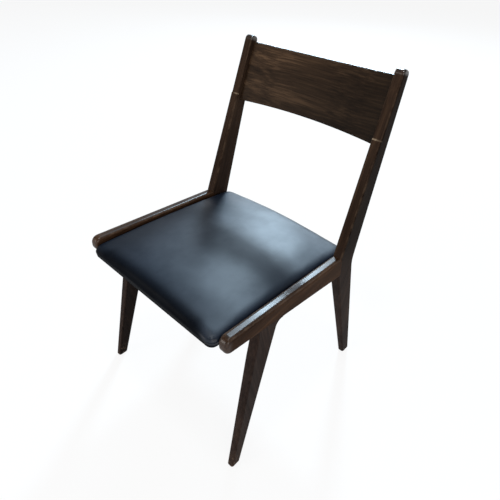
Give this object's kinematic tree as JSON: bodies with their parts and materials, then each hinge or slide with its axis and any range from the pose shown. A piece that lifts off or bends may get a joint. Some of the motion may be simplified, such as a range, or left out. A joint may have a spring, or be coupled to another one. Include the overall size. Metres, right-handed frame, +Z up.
{
  "type": "dining chair",
  "caption": "Armless wooden dining chair with raked tapered legs, leaning rear posts, a wide curved back panel and a padded black leatherette seat held between its side rails.",
  "frame": {"origin": "on the floor, under the middle of the overall width and depth", "axes": "+Z up, front of the seat toward -Y, +X on the right as seen from the front"},
  "size_m": [0.478, 0.5934, 0.8308],
  "materials": {
    "stained_wood": "dark espresso stain under semi-gloss lacquer",
    "bare_wood": "bare beech",
    "plywood": "bare plywood",
    "foam": "open-cell foam",
    "leatherette": "smooth black leatherette with a soft gloss",
    "dust_cloth": "thin black non-woven cloth",
    "steel": "zinc plated"
  },
  "bodies": {
    "root": {"rear_post_left": "stained_wood", "rear_post_right": "stained_wood", "front_leg_left": "stained_wood", "front_leg_right": "stained_wood", "side_rail_left": "stained_wood", "side_rail_right": "stained_wood", "back_panel": "stained_wood", "front_cross_rail": "stained_wood", "rear_cross_rail": "stained_wood", "corner_block_front_left": "bare_wood", "corner_block_front_right": "bare_wood", "corner_block_rear_left": "bare_wood", "corner_block_rear_right": "bare_wood", "rail_post_dowels": "bare_wood", "rail_leg_dowels": "bare_wood", "front_rail_dowels": "bare_wood", "rear_rail_dowels": "bare_wood", "panel_dowels": "bare_wood", "seat_cover": "leatherette", "seat_foam": "foam", "seat_board": "plywood", "seat_dust_cover": "dust_cloth", "cover_staples": "steel", "seat_screws": "steel", "block_screws": "steel"}
  },
  "joints": []
}
